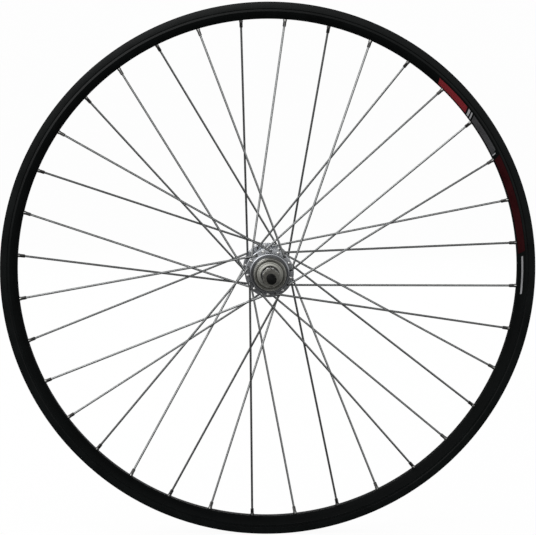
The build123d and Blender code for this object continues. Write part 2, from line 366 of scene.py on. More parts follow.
@dataclass(frozen=True)
class Finish:
    """Look of one surface. Lengths are in millimetres.

    Gloss is the roughness of the smoothest and of the roughest spots. Shade bands are pairs of distance from
    the axle and share of the colour that is left there, which paints shade into grooves, steps and recesses
    where it falls. Tones are the limits of the mixed marks and soil between which the look runs from dark to
    light.
    """

    name: str
    dark: Colour
    light: Colour
    gloss: tuple[float, float]
    metallic: float = 1.0
    specular: float = 0.5
    grain: Grain = Grain.TURNED
    grain_size: float = 0.4
    bump: float = 0.02
    soil_size: float = 14.0
    shade_bands: tuple[tuple[float, float], ...] = ()
    tones: tuple[float, float] = (0.3, 0.7)

    @cache
    def material(self) -> bpy.types.Material:
        """Makes the material, once.

        Returns:
            The material.
        """
        shader = Shader(self.name)
        place = shader.add("ShaderNodeTexCoord").outputs["Object"]
        axes = shader.add("ShaderNodeSeparateXYZ", {"Vector": place}).outputs
        flat = shader.add("ShaderNodeCombineXYZ", {"X": axes["X"], "Y": axes["Z"]}).outputs["Vector"]
        radius = shader.add("ShaderNodeVectorMath", {0: flat}, operation="LENGTH").outputs["Value"]
        if self.grain is Grain.TURNED:
            rings = shader.add("ShaderNodeCombineXYZ", {"X": radius, "Y": axes["Y"]}).outputs["Vector"]
            marks = shader.noise(rings, self.grain_size, detail=2.0)
        else:
            marks = shader.noise(place, self.grain_size)
        soil = shader.math("MULTIPLY", shader.noise(place, self.soil_size), 0.5)
        tone = shader.math("MULTIPLY_ADD", marks, 0.5, soil)
        colour = shader.ramp(tone, list(zip(self.tones, (self.dark, self.light))))
        if self.shade_bands:
            colour = self.shade_by_bands(shader, radius, colour)
        limits = dict(zip(("From Min", "From Max", "To Min", "To Max"), (*self.tones, *self.gloss)))
        rough = shader.add("ShaderNodeMapRange", {"Value": tone, **limits})
        relief = shader.add("ShaderNodeBump", {"Height": marks, "Strength": 0.5, "Distance": self.bump * MM})
        shader.dress(
            {
                "Base Color": colour,
                "Roughness": rough.outputs["Result"],
                "Normal": relief.outputs["Normal"],
                "Metallic": self.metallic,
                "Specular IOR Level": self.specular,
            }
        )
        return shader.material

    def shade_by_bands(self, shader: Shader, radius: Socket, colour: Socket) -> Socket:
        """Paints shade into a colour by the shade bands.

        Args:
            shader: Material under construction.
            radius: Distance from the axle.
            colour: Colour before shading.

        Returns:
            The shaded colour.
        """
        inner, outer = self.shade_bands[0][0], self.shade_bands[-1][0]
        limits = {"From Min": inner * MM, "From Max": outer * MM}
        share = shader.add("ShaderNodeMapRange", {"Value": radius, **limits}).outputs["Result"]
        stops = [((place - inner) / (outer - inner), (tone, tone, tone)) for place, tone in self.shade_bands]
        inputs = {0: 1.0, 6: colour, 7: shader.ramp(share, stops)}
        mixed = shader.add("ShaderNodeMix", inputs, data_type="RGBA", blend_type="MULTIPLY")
        return mixed.outputs[2]


def link(obj: Object) -> Object:
    """Puts an object into the scene and gives it back."""
    bpy.context.scene.collection.objects.link(obj)
    return obj


def smooth(mesh: bpy.types.Mesh, edge: Edge) -> None:
    """Shades a mesh smooth, except along its sharp edges.

    Args:
        mesh: Mesh to shade.
        edge: Kind of edge that stays sharp.
    """
    mesh.shade_smooth()
    mesh.set_sharp_from_angle(angle=math.radians(edge.value))
    mesh.update()


def face_outwards(mesh: bpy.types.Mesh) -> None:
    """Merges the coincident points of closed shells and turns their faces outwards.

    Args:
        mesh: Mesh to mend.
    """
    work = bmesh.new()
    work.from_mesh(mesh)
    bmesh.ops.remove_doubles(work, verts=work.verts, dist=MERGE_GAP)
    bmesh.ops.recalc_face_normals(work, faces=work.faces)
    work.to_mesh(mesh)
    work.free()


def paint(obj: Object, finish: Finish, chosen: Callable[[Vector], bool]) -> None:
    """Gives some faces of a piece a further finish.

    Args:
        obj: Mesh object.
        finish: Further finish.
        chosen: Test of a face by its middle in millimetres.
    """
    obj.data.materials.append(finish.material())
    slot = len(obj.data.materials) - 1
    for face in obj.data.polygons:
        if chosen(face.center / MM):
            face.material_index = slot


def settle(obj: Object, role: Role) -> None:
    """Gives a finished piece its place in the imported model.

    Args:
        obj: Finished piece.
        role: Body, material slot and nodes that it stands for.
    """
    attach(obj, role.body.value)
    if role.replaces:
        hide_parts(*role.replaces)
    LOG.info("%s: %d faces", obj.name, len(obj.data.polygons))


@dataclass(frozen=True)
class Thread:
    """Screw thread: outer radius, height of its ridge and distance between turns."""

    radius: float
    depth: float
    pitch: float
    rows_per_turn: int = 6
    steepness: float = 1.3

    @property
    def core(self) -> float:
        """Radius at the foot of the ridge."""
        return self.radius - self.depth

    def height(self, along: float, angle: float) -> float:
        """Height of the ridge at a place along the axle and an angle round it."""
        phase = (along / self.pitch + angle / 360) % 1.0
        return self.depth * min(1.0, self.steepness * abs(2 * phase - 1))


@dataclass
class Draft:
    """Points and faces of one mesh while it is put together, in millimetres."""

    points: list[Vector] = field(default_factory=list)
    faces: list[tuple[int, ...]] = field(default_factory=list)
    slots: list[int] = field(default_factory=list)

    def tube(
        self, rings: Sequence[Sequence[Vector]], closed: bool, slot: int = 0, flip: bool = False
    ) -> None:
        """Joins rings of points with four-sided faces.

        Args:
            rings: Rings with the same number of points.
            closed: True joins the last ring to the first, False caps both ends.
            slot: Material slot of the faces.
            flip: True turns the faces over.
        """
        base = len(self.points)
        size = len(rings[0])
        for ring in rings:
            self.points.extend(ring)
        made: list[tuple[int, ...]] = []
        for row in range(len(rings) if closed else len(rings) - 1):
            near = base + row * size
            far = base + (row + 1) % len(rings) * size
            for place in range(size):
                after = (place + 1) % size
                made.append((near + place, near + after, far + after, far + place))
        if not closed:
            made.append(tuple(base + place for place in reversed(range(size))))
            made.append(tuple(base + (len(rings) - 1) * size + place for place in range(size)))
        if flip:
            made = [tuple(reversed(face)) for face in made]
        self.faces.extend(made)
        self.slots.extend([slot] * len(made))

    def lathe(self, section: Section, segments: int, hollow: bool = False) -> None:
        """Turns a closed section round the axle.

        Args:
            section: Points of (radius, along).
            segments: Number of faces round the axle.
            hollow: True makes the wall of a closed hollow, whose faces look inwards.
        """
        area = sum(
            here[0] * after[1] - after[0] * here[1]
            for here, after in zip(section, [*section[1:], section[0]])
        )
        rings = [hoop(radius, along, segments) for radius, along in section]
        self.tube(rings, closed=True, flip=(area > 0) != hollow)

    def screw(self, thread: Thread, start: float, end: float, segments: int) -> None:
        """Winds a band of screw thread round the axle, closed inside.

        Args:
            thread: Form of the thread.
            start: First place along the axle.
            end: Last place along the axle.
            segments: Number of faces round the axle.
        """
        per_turn = thread.rows_per_turn
        count = max(2, round(abs(end - start) / thread.pitch * per_turn))
        inside = thread.core - thread.depth / 2
        angles = even_angles(segments)
        rings = [hoop(inside, start, segments)]
        for row in range(count + 1):
            along = start + (end - start) * row / count
            fade = min(1.0, row / per_turn, (count - row) / per_turn)
            radii = [thread.core + thread.height(along, angle) * fade for angle in angles]
            rings.append([around(angle, radius, along) for angle, radius in zip(angles, radii)])
        rings.append(hoop(inside, end, segments))
        self.tube(rings, closed=True, flip=end > start)

    def to_object(
        self, name: str, *finishes: Finish, edge: Edge = Edge.MACHINED, outwards: bool = False
    ) -> Object:
        """Makes the mesh object.

        Args:
            name: Name of the object.
            *finishes: Finishes by material slot.
            edge: Kind of edge that stays sharp.
            outwards: True mends closed shells whose faces may look inwards.

        Returns:
            The new object, at the origin.
        """
        mesh = bpy.data.meshes.new(name)
        mesh.from_pydata([point * MM for point in self.points], [], self.faces)
        for finish in finishes:
            mesh.materials.append(finish.material())
        mesh.polygons.foreach_set("material_index", self.slots)
        if outwards:
            face_outwards(mesh)
        smooth(mesh, edge)
        return link(bpy.data.objects.new(name, mesh))


@dataclass(frozen=True)
class Peg:
    """Place, direction and size of one repeated thing, in millimetres."""

    point: Vector
    axis: Vector
    across: Vector
    radius: float = 1.0
    length: float = 1.0


def peg_board(name: str, pegs: Sequence[Peg]) -> Object:
    """Host mesh with one point for each repeated thing.

    Args:
        name: Name of the host.
        pegs: Repeated things.

    Returns:
        The host.
    """
    mesh = bpy.data.meshes.new(name)
    mesh.from_pydata([peg.point * MM for peg in pegs], [], [])
    columns = {
        "axis": [peg.axis for peg in pegs],
        "across": [peg.across for peg in pegs],
        "size": [Vector((peg.radius, peg.radius, peg.length)) * MM for peg in pegs],
    }
    for label, column in columns.items():
        attribute = mesh.attributes.new(label, "FLOAT_VECTOR", "POINT")
        attribute.data.foreach_set("vector", [value for vector in column for value in vector])
    return link(bpy.data.objects.new(name, mesh))


class Growth(Tree):
    """Geometry Nodes tree that is run on a host mesh and turned into plain mesh."""

    def __init__(self, name: str, inputs: dict[str, str]) -> None:
        """Starts a tree.

        Args:
            name: Name of the tree.
            inputs: Socket types of its inputs by name.
        """
        super().__init__(bpy.data.node_groups.new(name, "GeometryNodeTree"))
        interface = self.tree.interface
        interface.new_socket("Geometry", in_out="INPUT", socket_type="NodeSocketGeometry")
        for label, kind in inputs.items():
            interface.new_socket(label, in_out="INPUT", socket_type=kind)
        interface.new_socket("Geometry", in_out="OUTPUT", socket_type="NodeSocketGeometry")
        self.source = self.tree.nodes.new("NodeGroupInput").outputs
        self.result = self.tree.nodes.new("NodeGroupOutput").inputs["Geometry"]

    def attribute(self, name: str) -> Socket:
        """Vector attribute of the peg board's points."""
        node = self.add("GeometryNodeInputNamedAttribute", {"Name": name}, data_type="FLOAT_VECTOR")
        return node.outputs["Attribute"]

    def turn(self) -> Socket:
        """Rotation whose Z follows the attribute axis and whose X follows the attribute across.

        Returns:
            The rotation.
        """
        inputs = {"Primary Axis": self.attribute("axis"), "Secondary Axis": self.attribute("across")}
        node = self.add("FunctionNodeAxesToRotation", inputs, primary_axis="Z", secondary_axis="X")
        return node.outputs["Rotation"]

    def end(self, geometry: Socket) -> None:
        """Realizes what the tree made, gives it the material and ends the tree.

        Args:
            geometry: Geometry before that.
        """
        real = self.add("GeometryNodeRealizeInstances", {"Geometry": geometry}).outputs["Geometry"]
        inputs = {"Geometry": real, "Material": self.source["Material"]}
        painted = self.add("GeometryNodeSetMaterial", inputs)
        self.feed(self.result, painted.outputs["Geometry"])

    def run(self, host: Object, name: str, values: dict[str, object], edge: Edge) -> Object:
        """Runs the tree on a host and keeps the result as plain mesh.

        Args:
            host: Host mesh, which is removed.
            name: Name of the piece.
            values: Values of the tree's inputs by name.
            edge: Kind of edge that stays sharp.

        Returns:
            The piece.
        """
        modifier = host.modifiers.new(self.tree.name, "NODES")
        modifier.node_group = self.tree
        for item in self.tree.interface.items_tree:
            if item.in_out == "INPUT" and item.name in values:
                modifier[item.identifier] = values[item.name]
        host.update_tag()
        bpy.context.view_layer.update()
        mesh = bpy.data.meshes.new_from_object(host.evaluated_get(bpy.context.evaluated_depsgraph_get()))
        host.modifiers.clear()
        bpy.data.objects.remove(host)
        mesh.name = name
        smooth(mesh, edge)
        return link(bpy.data.objects.new(name, mesh))


class Scatter(Growth):
    """Tree that puts a copy of a pattern on every point of its host."""

    def __init__(self) -> None:
        """Builds the tree."""
        super().__init__("scatter", {"Pattern": "NodeSocketObject", "Material": "NodeSocketMaterial"})
        pattern = self.add("GeometryNodeObjectInfo", {"Object": self.source["Pattern"]})
        copies = self.add(
            "GeometryNodeInstanceOnPoints",
            {
                "Points": self.source["Geometry"],
                "Instance": pattern.outputs["Geometry"],
                "Rotation": self.turn(),
            },
        )
        self.end(copies.outputs["Instances"])

    def copy(self, pattern: Object, pegs: Sequence[Peg], name: str, finish: Finish, edge: Edge) -> Object:
        """Copies a pattern to pegs.

        Args:
            pattern: Pattern about its own Z axis, which is removed.
            pegs: Places of the copies.
            name: Name of the piece.
            finish: Finish of the copies.
            edge: Kind of edge that stays sharp.

        Returns:
            All the copies as one piece.
        """
        values = {"Pattern": pattern, "Material": finish.material()}
        copies = self.run(peg_board(f"{name}_pegs", pegs), name, values, edge)
        bpy.data.objects.remove(pattern)
        return copies


class Drill(Growth):
    """Tree that drills its host with a round hole at every point of a peg board."""

    def __init__(self) -> None:
        """Builds the tree."""
        inputs = {"Pegs": "NodeSocketObject", "Sides": "NodeSocketInt", "Material": "NodeSocketMaterial"}
        super().__init__("drill", inputs)
        pegs = self.add("GeometryNodeObjectInfo", {"Object": self.source["Pegs"]})
        unit_drill = {"Vertices": self.source["Sides"], "Radius": 1.0, "Depth": 1.0}
        drill = self.add("GeometryNodeMeshCylinder", unit_drill)
        copies = self.add(
            "GeometryNodeInstanceOnPoints",
            {
                "Points": pegs.outputs["Geometry"],
                "Instance": drill.outputs["Mesh"],
                "Rotation": self.turn(),
                "Scale": self.attribute("size"),
            },
        )
        drills = self.add("GeometryNodeRealizeInstances", {"Geometry": copies.outputs["Instances"]})
        meshes = {"Mesh 1": self.source["Geometry"], "Mesh 2": drills.outputs["Geometry"]}
        cut = self.add("GeometryNodeMeshBoolean", meshes, operation="DIFFERENCE", solver="EXACT")
        self.end(cut.outputs["Mesh"])

    def cut(self, stock: Object, pegs: Sequence[Peg], sides: int, name: str, finish: Finish) -> Object:
        """Drills a piece.

        Args:
            stock: Piece before drilling, which is removed.
            pegs: Holes.
            sides: Number of faces round a hole.
            name: Name of the drilled piece.
            finish: Its finish.

        Returns:
            The drilled piece.
        """
        board = peg_board(f"{name}_pegs", pegs)
        values = {"Pegs": board, "Sides": sides, "Material": finish.material()}
        drilled = self.run(stock, name, values, Edge.MACHINED)
        bpy.data.objects.remove(board)
        return drilled


class Lace(Growth):
    """Tree that turns routes of edges into bent wires."""

    def __init__(self) -> None:
        """Builds the tree."""
        lengths = {"Wire Radius": "NodeSocketFloat", "Bend Radius": "NodeSocketFloat"}
        counts = {"Bend Steps": "NodeSocketInt", "Sides": "NodeSocketInt"}
        super().__init__("lace", {**lengths, **counts, "Material": "NodeSocketMaterial"})
        route = self.add("GeometryNodeMeshToCurve", {"Mesh": self.source["Geometry"]})
        bent = self.add(
            "GeometryNodeFilletCurve",
            {
                "Curve": route.outputs["Curve"],
                "Radius": self.source["Bend Radius"],
                "Count": self.source["Bend Steps"],
                "Limit Radius": True,
            },
            mode="POLY",
        )
        circle = {"Resolution": self.source["Sides"], "Radius": self.source["Wire Radius"]}
        profile = self.add("GeometryNodeCurvePrimitiveCircle", circle).outputs["Curve"]
        curves = {"Curve": bent.outputs["Curve"], "Profile Curve": profile, "Fill Caps": True}
        self.end(self.add("GeometryNodeCurveToMesh", curves).outputs["Mesh"])


@dataclass
class Repeats:
    """Geometry Nodes trees for what repeats on a wheel."""

    scatter: Scatter
    drill: Drill
    lace: Lace


@dataclass(frozen=True)
class Strand:
    """Route of one spoke from its head in the hub flange to its nipple seat in the rim."""

    rim_angle: float
    head: Vector
    elbow: Vector
    seat: Vector
    outward: Vector
    across: Vector
    along: Vector
    lift: float


@dataclass
class Lacing:
    """Routes of all the spokes: three cross, with every second rim hole drawn to the drive flange."""

    sizes: Sizes
    count: int = 36
    first_angle: float = 6.5
    stagger: float = 1.5
    lead_angle: float = 60.0
    hole_circle: float = 23.2
    wire_gap: float = 0.15
    seat_gap: float = 0.05
    nipple_head_radius: float = 2.9

    @cached_property
    def strands(self) -> list[Strand]:
        """Routes in the order of their rim holes."""
        return [self.strand(index) for index in range(self.count)]

    def strand(self, index: int) -> Strand:
        """Route of one spoke.

        Args:
            index: Number of its hole, counted round the rim from the first one.

        Returns:
            The route.
        """
        sizes = self.sizes
        side = Side.DRIVE if index % 2 == 0 else Side.LEFT
        leaves_outside = index % 4 in (2, 3)
        rim_angle = self.first_angle + index * 360 / self.count
        lead = -self.lead_angle if leaves_outside else self.lead_angle
        offset = sizes.flange(side)
        hole = around(rim_angle + lead, self.hole_circle, side.value * offset)
        seat = around(rim_angle, sizes.bed_radius, side.value * self.stagger)
        face = sizes.flange_thickness / 2
        stand_off = face + sizes.wire_radius + self.wire_gap
        if leaves_outside:
            # The wire leans in towards the rim and has to clear the edge of the flange.
            run = Vector((seat.x - hole.x, 0, seat.z - hole.z))
            inward = hole.x * run.x / run.length + hole.z * run.z / run.length
            reach = math.sqrt(inward**2 + sizes.flange_radius**2 - self.hole_circle**2) - inward
            stand_off += (offset + stand_off - self.stagger) / run.length * reach
        outward = Vector((0, side.value if leaves_outside else -side.value, 0))
        elbow = hole + outward * stand_off
        along = (seat - elbow).normalized()
        radial = around(rim_angle, 1.0)
        slope = along.cross(radial).length / along.dot(radial)
        return Strand(
            rim_angle=rim_angle,
            head=hole - outward * (face + self.seat_gap),
            elbow=elbow,
            seat=seat,
            outward=outward,
            across=outward.cross(along).normalized(),
            along=along,
            lift=self.nipple_head_radius * slope + self.seat_gap,
        )


@dataclass
class Rim:
    """Rolled double-wall rim with its drilled holes."""

    sizes: Sizes
    lacing: Lacing
    repeats: Repeats
    segments: int = 360
    hole_sides: int = 24
    track_depth: float = 10.1
    well_drop: float = 8.3
    bridge_wall: float = 1.3
    spoke_hole: float = 2.2
    access_hole: float = 4.5
    valve_hole: float = 4.25
    valve_angle: float = 81.5
    finish: Finish = Finish(
        "rim_black",
        dark=(0.0016, 0.0022, 0.0022),
        light=(0.0048, 0.0062, 0.0062),
        gloss=(0.2, 0.32),
        metallic=0.0,
        specular=0.16,
        grain_size=0.25,
        bump=0.006,
        soil_size=22.0,
        # painted shade: the dip to 0.4 at 277.9 mm darkens the step in the flank, 7.6 mm below the lip
        shade_bands=((275.4, 0.9), (277.0, 0.9), (277.9, 0.4), (278.8, 0.9), (285.5, 0.9)),
    )
    # its duller gloss stands for anodising beside the machined tracks, and its darker colour is painted
    # shade on the inner flanks
    dull_shaded_bed_finish: Finish = replace(
        finish,
        name="rim_bed_black",
        dark=(0.001, 0.0014, 0.0014),
        light=(0.0026, 0.0036, 0.0036),
        gloss=(0.5, 0.66),
        specular=0.07,
        shade_bands=(),
    )

    def flank(self) -> list[Corner]:
        """Outer corners of one side, from the lip to the crest.

        Returns:
            The corners, on the side of positive places along the axle.
        """
        lip = self.sizes.lip_radius
        half = self.sizes.rim_half_width
        return [
            Corner(lip, half, 0.7),
            Corner(lip - 7.0, half, 0.12),
            Corner(lip - 7.8, half - 0.75, 0.12),
            Corner(lip - 10.0, half - 0.3, 0.4),
            Corner(lip - 14.0, half - 2.4, 5.0),
            Corner(lip - self.sizes.rim_depth, half - 7.6, 1.8),
        ]

    def section(self) -> Section:
        """Outer section of the rim.

        Returns:
            Points of (radius, along).
        """
        lip = self.sizes.lip_radius
        channel = [
            Corner(lip - self.well_drop, 6.3, 1.5),
            Corner(lip - 6.0, 7.5, 0.8),
            Corner(lip - 6.0, 10.5, 0.9),
            Corner(lip - 2.4, 10.3, 0.8),
            Corner(lip - 1.3, 9.5, 0.5),
            Corner(lip, 9.7, 0.7),
        ]
        return rounded(mirrored([*channel, *self.flank()]))

    def hollow(self) -> Section:
        """Section of the closed box between the bridge and the spoke bed.

        Returns:
            Points of (radius, along).
        """
        lip = self.sizes.lip_radius
        bridge = Corner(lip - self.well_drop - self.bridge_wall, 9.7, 0.8)
        wall = Corner(lip - 13.2, 8.1, 2.0)
        bed = Corner(self.sizes.bed_radius, 4.4, 1.5)
        return rounded(mirrored([bridge, wall, bed]))

    def holes(self) -> list[Peg]:
        """Spoke holes, access holes and the valve hole.

        Returns:
            The holes, longer than the walls that they go through.
        """
        sizes = self.sizes
        spoke_reach = 2.8 * sizes.bed_wall
        access_reach = 3 * self.bridge_wall
        valve_reach = 1.4 * sizes.rim_depth
        bridge = sizes.lip_radius - self.well_drop - self.bridge_wall / 2
        pegs = []
        for strand in self.lacing.strands:
            middle = strand.seat - strand.along * (sizes.bed_wall / 2)
            pegs.append(Peg(middle, strand.along, strand.across, self.spoke_hole, spoke_reach))
            radial = around(strand.rim_angle, 1.0)
            opening = around(strand.rim_angle, bridge, strand.seat.y)
            pegs.append(Peg(opening, radial, AXLE, self.access_hole, access_reach))
        valve = around(self.valve_angle, sizes.lip_radius - sizes.rim_depth / 2)
        pegs.append(Peg(valve, around(self.valve_angle, 1.0), AXLE, self.valve_hole, valve_reach))
        return pegs

    def build(self) -> None:
        """Makes the rim. The spoke bed below its braking tracks is duller, and darker as painted shade."""
        draft = Draft()
        draft.lathe(self.section(), self.segments)
        draft.lathe(self.hollow(), self.segments, hollow=True)
        stock = draft.to_object("rim_stock", self.finish)
        rim = self.repeats.drill.cut(stock, self.holes(), self.hole_sides, "rim_dressed", self.finish)
        track_end = self.sizes.lip_radius - self.track_depth
        paint(rim, self.dull_shaded_bed_finish, lambda middle: math.hypot(middle.x, middle.z) < track_end)
        settle(rim, Role(Body.WHEEL, Slot.RIM, ("rim",)))


@dataclass(frozen=True)
class Patch:
    """One plain field of the printed label. Angles are in degrees, depths in millimetres below the lip."""

    start: float
    end: float
    top: float
    bottom: float
    ink: Ink
    slant: float


def label_ink(name: str, dark: Colour, light: Colour, specular: float) -> Finish:
    """Finish of one ink of the label."""
    return Finish(name, dark, light, (0.34, 0.46), metallic=0.0, specular=specular, grain=Grain.EVEN)


@dataclass
class RimLabel:
    """Printed label on the drive side of the rim, as plain fields of colour."""

    rim: Rim
    proud: float = 0.08
    step: float = 1.0
    row_height: float = 0.3
    inks: tuple[Finish, ...] = (
        label_ink("label_red", (0.105, 0.007, 0.01), (0.175, 0.012, 0.017), 0.14),
        label_ink("label_grey", (0.026, 0.026, 0.028), (0.05, 0.05, 0.053), 0.2),
        label_ink("label_wine", (0.013, 0.0013, 0.0018), (0.031, 0.0028, 0.0038), 0.06),
        label_ink("label_pale", (0.16, 0.16, 0.165), (0.3, 0.3, 0.31), 0.2),
    )
    patches: tuple[Patch, ...] = (
        Patch(49.0, 40.0, 11.9, 17.2, Ink.RED, 0.8),
        Patch(39.5, 38.9, 11.9, 17.2, Ink.PALE, 0.8),
        Patch(38.5, 38.1, 11.9, 17.2, Ink.PALE, 0.8),
        Patch(37.6, 28.5, 11.9, 17.2, Ink.GREY, 0.8),
        Patch(28.0, 27.7, 13.6, 17.0, Ink.PALE, 0.3),
        Patch(27.2, 4.8, 10.6, 17.2, Ink.WINE, 0.8),
        Patch(3.6, -5.0, 12.9, 14.5, Ink.PALE, 0.2),
    )

    @cached_property
    def track(self) -> list[tuple[float, Vector]]:
        """Points along the drive side's flank.

        Returns:
            Depths below the lip with their points of (radius, along).
        """
        lip = self.rim.sizes.lip_radius
        outline = rounded(mirrored(self.rim.flank()))
        half = outline[: len(outline) // 2]
        return [(lip - radius, Vector((radius, -along))) for radius, along in half]

    def at_depth(self, depth: float, proud: float) -> Vector:
        """Point of the drive side's flank at a depth below the lip.

        Args:
            depth: Depth in millimetres.
            proud: Height over the surface.

        Returns:
            Point of (radius, along).
        """
        for (start, before), (end, after) in zip(self.track, self.track[1:]):
            if start <= depth <= end and end > start:
                run = (after - before).normalized()
                share = (depth - start) / (end - start)
                return before.lerp(after, share) + Vector((-run.y, run.x)) * proud
        return self.track[-1][1]

    def print_patch(self, draft: Draft, patch: Patch) -> None:
        """Adds one field as a thin closed skin on the flank.

        Args:
            draft: Mesh under construction.
            patch: Field of the label.
        """
        height = patch.bottom - patch.top
        rows = max(2, round(height / self.row_height))
        shares = [row / rows for row in range(rows + 1)]
        outside = [(share, self.proud) for share in shares]
        inside = [(share, -self.proud) for share in reversed(shares)]
        loop = outside + inside
        section = [(share, self.at_depth(patch.top + height * share, proud)) for share, proud in loop]
        columns = max(1, round(abs(patch.end - patch.start) / self.step))
        rings = []
        for column in range(columns + 1):
            angle = patch.start + (patch.end - patch.start) * column / columns
            rings.append([around(angle - patch.slant * share, point.x, point.y) for share, point in section])
        draft.tube(rings, closed=False, slot=patch.ink.value)

    def build(self) -> None:
        """Makes the label."""
        draft = Draft()
        for patch in self.patches:
            self.print_patch(draft, patch)
        settle(draft.to_object("rim_label", *self.inks, outwards=True), Role(Body.WHEEL, Slot.RIM))


@dataclass
class Spokes:
    """Steel spokes and their nipples. Rings of a pattern are (height, half the width, corner radius)."""

    sizes: Sizes
    lacing: Lacing
    repeats: Repeats
    wire_sides: int = 14
    head_sides: int = 20
    nipple_sides: int = 32
    bend_radius: float = 2.2
    bend_steps: int = 8
    tip_reach: float = 1.5
    bore_gap: float = 0.03
    wire_finish: Finish = Finish(
        "spoke_steel",
        dark=(0.3, 0.31, 0.31),
        light=(0.41, 0.42, 0.42),
        gloss=(0.24, 0.34),
        grain=Grain.EVEN,
        grain_size=0.6,
        bump=0.004,
        soil_size=9.0,
    )
    # painted highlight: the heads are the wires' steel, made far lighter to stand for the highlight on their
    # domes
    highlit_head_finish: Finish = Finish(
        "spoke_head_steel",
        dark=(0.74, 0.74, 0.73),
        light=(0.88, 0.88, 0.87),
        gloss=(0.22, 0.34),
        grain=Grain.EVEN,
        bump=0.006,
        soil_size=3.0,
    )
    nipple_finish: Finish = Finish(
        "nipple_plate",
        dark=(0.4, 0.4, 0.39),
        light=(0.56, 0.56, 0.54),
        gloss=(0.2, 0.32),
        grain=Grain.EVEN,
        grain_size=0.5,
        bump=0.006,
        soil_size=3.0,
        # painted shade: the squared shank towards the hub is left much darker than the round neck at the rim
        shade_bands=((257.0, 0.2), (264.9, 0.22), (266.0, 0.8), (270.0, 0.8)),
    )
    head_rings: tuple[tuple[float, float, float], ...] = (
        (0.0, 0.9, 0.9),
        (0.0, 1.75, 1.75),
        (-0.1, 1.9, 1.9),
        (-0.35, 1.9, 1.9),
        (-0.6, 1.72, 1.72),
        (-0.8, 1.42, 1.42),
        (-0.94, 0.98, 0.98),
        (-1.0, 0.5, 0.5),
    )
    nipple_rings: tuple[tuple[float, float, float], ...] = (
        (-10.0, 1.4, 1.4),
        (-9.7, 1.7, 1.8),
        (-9.3, 1.7, 2.05),
        (-4.6, 1.7, 2.05),
        (-4.2, 2.05, 2.05),
        (0.0, 2.05, 2.05),
        (0.1, 2.9, 2.9),
        (0.9, 2.9, 2.9),
        (1.6, 2.5, 2.5),
        (2.0, 1.7, 1.7),
    )

    @staticmethod
    def ring(height: float, half: float, corner: float, count: int) -> list[Vector]:
        """Ring about the Z axis of a pattern, square with turned corners, or round.

        Args:
            height: Place along Z.
            half: Half the width across the flats.
            corner: Radius that the corners are turned down to.
            count: Number of points.

        Returns:
            The points.
        """
        points = []
        for index in range(count):
            turn = 2 * math.pi * index / count
            radius = min(corner, half / max(abs(math.cos(turn)), abs(math.sin(turn))))
            points.append(Vector((radius * math.cos(turn), radius * math.sin(turn), height)))
        return points

    def routes(self) -> Object:
        """Host mesh with the route of every spoke as edges.

        Returns:
            The host.
        """
        points: list[Vector] = []
        edges: list[tuple[int, int]] = []
        for strand in self.lacing.strands:
            first = len(points)
            tip = strand.seat + strand.along * (strand.lift + self.tip_reach)
            points.extend((strand.head, strand.elbow, tip))
            edges.extend(((first, first + 1), (first + 1, first + 2)))
        mesh = bpy.data.meshes.new("spoke_routes")
        mesh.from_pydata([point * MM for point in points], edges, [])
        return link(bpy.data.objects.new("spoke_routes", mesh))

    def build(self) -> None:
        """Makes the wires, their heads and the nipples."""
        self.build_wires()
        self.build_heads()
        self.build_nipples()

    def build_wires(self) -> None:
        """Makes the wires with their elbows."""
        values = {
            "Wire Radius": self.sizes.wire_radius * MM,
            "Bend Radius": self.bend_radius * MM,
            "Bend Steps": self.bend_steps,
            "Sides": self.wire_sides,
            "Material": self.wire_finish.material(),
        }
        wires = self.repeats.lace.run(self.routes(), "spokes_dressed", values, Edge.WIRE)
        nodes = tuple(f"spoke_{index + 1:02d}" for index in range(self.lacing.count))
        settle(wires, Role(Body.WHEEL, Slot.SPOKE, nodes))

    def build_heads(self) -> None:
        """Makes the domed heads of the spokes, in a lighter copy of the spoke steel as painted highlight."""
        draft = Draft()
        draft.tube([self.ring(*size, self.head_sides) for size in self.head_rings], closed=False)
        pattern = draft.to_object("spoke_head_pattern", self.highlit_head_finish, outwards=True)
        pegs = [Peg(strand.head, strand.outward, strand.across) for strand in self.lacing.strands]
        heads = self.repeats.scatter.copy(pattern, pegs, "spoke_heads_dressed", self.highlit_head_finish, Edge.WIRE)
        settle(heads, Role(Body.WHEEL, Slot.SPOKE))

    def build_nipples(self) -> None:
        """Makes the nipples, bored for their wires."""
        bore = self.sizes.wire_radius + self.bore_gap
        ends = [(self.nipple_rings[place][0], bore, bore) for place in (-1, 0)]
        rings = [self.ring(*size, self.nipple_sides) for size in (*self.nipple_rings, *ends)]
        draft = Draft()
        draft.tube(rings, closed=True)
        finish = self.nipple_finish
        pattern = draft.to_object("nipple_pattern", finish, outwards=True)
        pegs = [
            Peg(strand.seat + strand.along * strand.lift, strand.along, strand.across)
            for strand in self.lacing.strands
        ]
        nipples = self.repeats.scatter.copy(pattern, pegs, "nipples_dressed", finish, Edge.MACHINED)
        settle(nipples, Role(Body.WHEEL, Slot.NIPPLE, ("nipples",)))


